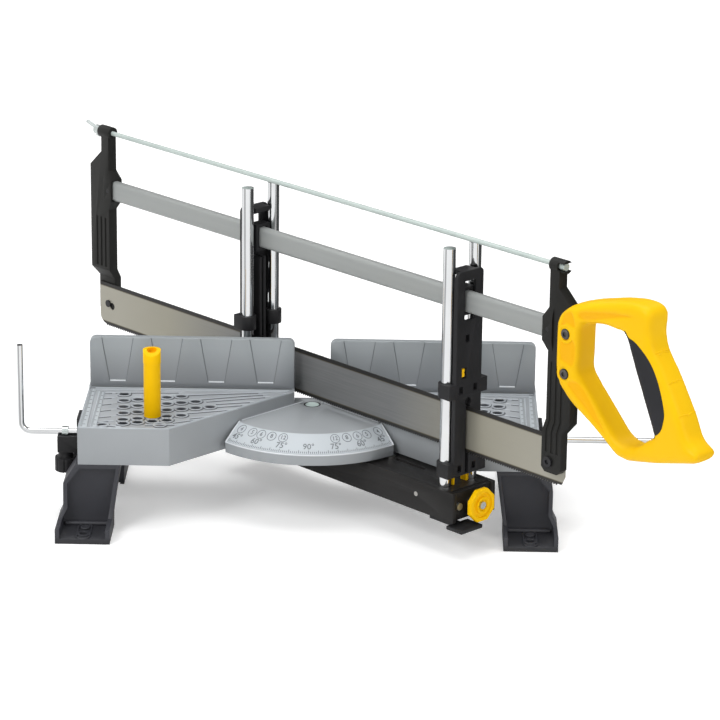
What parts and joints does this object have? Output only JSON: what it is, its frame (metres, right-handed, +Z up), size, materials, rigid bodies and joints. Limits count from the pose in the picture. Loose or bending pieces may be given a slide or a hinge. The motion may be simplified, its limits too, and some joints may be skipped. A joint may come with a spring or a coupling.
{
  "type": "manual mitre saw",
  "caption": "Bench mitre saw worked by hand: frame saw sliding in guide towers on a swinging arm, cast table with fence and angle quadrant, moulded feet and stop rods.",
  "frame": {"origin": "on the bench, at the centre of the four bench screw holes in the feet", "axes": "+X to the right along the fence, +Y to the back, +Z up off the bench"},
  "size_m": [0.5481, 0.5151, 0.2671],
  "materials": {
    "cast_alloy": "satin, cast, lightly tumbled",
    "black_enamel": "semi-gloss black enamel",
    "black_plastic": "moulded black, fine grain",
    "bright_chrome": "polished",
    "zinc_plate": "bright zinc",
    "plain_steel": "ground",
    "black_oxide": "blackened steel",
    "grey_tube": "grey drawn tube",
    "yellow_plastic": "glossy yellow",
    "soft_grip": "soft dark rubber"
  },
  "bodies": {
    "bed": {"left_table": "cast_alloy", "right_table": "cast_alloy", "left_fence": "cast_alloy", "right_fence": "cast_alloy", "quadrant_plate": "cast_alloy", "left_foot": "black_plastic", "right_foot": "black_plastic", "foot_screws": "zinc_plate", "pivot_bolt": "zinc_plate", "pivot_washer": "black_plastic", "pivot_nut": "zinc_plate", "left_rod_bracket": "black_plastic", "right_rod_bracket": "black_plastic", "left_rod_clip": "zinc_plate", "right_rod_clip": "zinc_plate"},
    "left_rod": {"left_stop_rod": "bright_chrome"},
    "right_rod": {"right_stop_rod": "bright_chrome"},
    "left_clamp": {"left_clamp_knob": "black_plastic"},
    "right_clamp": {"right_clamp_knob": "black_plastic"},
    "peg": {"cam_peg": "yellow_plastic"},
    "swing": {"swing_arm": "black_enamel", "post_front_left": "bright_chrome", "post_front_right": "bright_chrome", "post_rear_left": "bright_chrome", "post_rear_right": "bright_chrome", "post_screws": "zinc_plate", "depth_stops": "yellow_plastic", "arm_end_plate": "black_enamel", "end_plate_screws": "zinc_plate", "lock_pad": "plain_steel", "lever_pivot": "plain_steel", "lever_spring": "plain_steel"},
    "lock": {"lock_knob": "yellow_plastic", "lock_rod": "zinc_plate", "lock_screw": "zinc_plate"},
    "lever": {"index_lever": "black_plastic", "index_pin": "plain_steel"},
    "front_tower": {"front_guide": "black_plastic", "front_spine_pad": "black_plastic"},
    "rear_tower": {"rear_guide": "black_plastic", "rear_spine_pad": "black_plastic"},
    "latch": {"lift_latch": "yellow_plastic"},
    "saw": {"spine_tube": "grey_tube", "front_frame_arm": "black_enamel", "rear_frame_arm": "black_enamel", "blade": "plain_steel", "blade_screw": "black_oxide", "blade_peg": "black_oxide", "spine_pins": "black_oxide", "tension_rod": "zinc_plate", "tension_washer": "zinc_plate", "handle_body": "yellow_plastic", "grip_insert": "soft_grip", "handle_screws": "black_oxide"},
    "wing": {"wing_nut": "zinc_plate"}
  },
  "joints": [
    {"name": "swing_turn", "type": "hinge", "parent": "bed", "child": "swing", "pos_m": [0, 0.044, 0.05], "axis": [0, 0, 1], "range_deg": [-90, 0]},
    {"name": "lock_turn", "type": "hinge", "parent": "swing", "child": "lock", "pos_m": [0.13435, -0.09035, 0.0415], "axis": [0.7071, -0.7071, 0], "range_deg": [-180, 90]},
    {"name": "lever_tilt", "type": "hinge", "parent": "swing", "child": "lever", "pos_m": [0.09563, -0.0686, 0.043], "axis": [0.7071, 0.7071, 0], "range_deg": [-1.5, 3], "stiffness_Nm_per_rad": 0.6, "deforming": ["lever_spring"]},
    {"name": "front_lift", "type": "slide", "parent": "swing", "child": "front_tower", "axis": [0, 0, 1], "range_m": [0, 0.105]},
    {"name": "rear_lift", "type": "slide", "parent": "swing", "child": "rear_tower", "axis": [0, 0, 1], "range_m": [0, 0.105]},
    {"name": "latch_press", "type": "slide", "parent": "front_tower", "child": "latch", "axis": [-0.7071, 0.7071, 0], "range_m": [0, 0.0025], "stiffness_N_per_m": 400},
    {"name": "saw_stroke", "type": "slide", "parent": "front_tower", "child": "saw", "axis": [0.7071, -0.7071, 0], "range_m": [-0.078, 0.17]},
    {"name": "wing_turn", "type": "hinge", "parent": "saw", "child": "wing", "pos_m": [-0.19318, 0.23718, 0.258], "axis": [0.7071, -0.7071, 0], "range_deg": [-360, 0]},
    {"name": "left_rod_slide", "type": "slide", "parent": "bed", "child": "left_rod", "axis": [-1, 0, 0], "range_m": [-0.018, 0.05]},
    {"name": "right_rod_slide", "type": "slide", "parent": "bed", "child": "right_rod", "axis": [1, 0, 0], "range_m": [-0.068, 0.02]},
    {"name": "left_clamp_turn", "type": "hinge", "parent": "bed", "child": "left_clamp", "pos_m": [-0.2, -0.016, 0.045], "axis": [0, 0, 1], "range_deg": [-360, 0]},
    {"name": "right_clamp_turn", "type": "hinge", "parent": "bed", "child": "right_clamp", "pos_m": [0.2, -0.016, 0.045], "axis": [0, 0, 1], "range_deg": [-360, 0]},
    {"name": "peg_turn", "type": "hinge", "parent": "bed", "child": "peg", "pos_m": [-0.1277, -0.0299, 0.09], "axis": [0, 0, 1], "continuous": true}
  ],
  "couplings": [
    {"joint": "rear_lift", "follows": "front_lift", "ratio": 1}
  ]
}
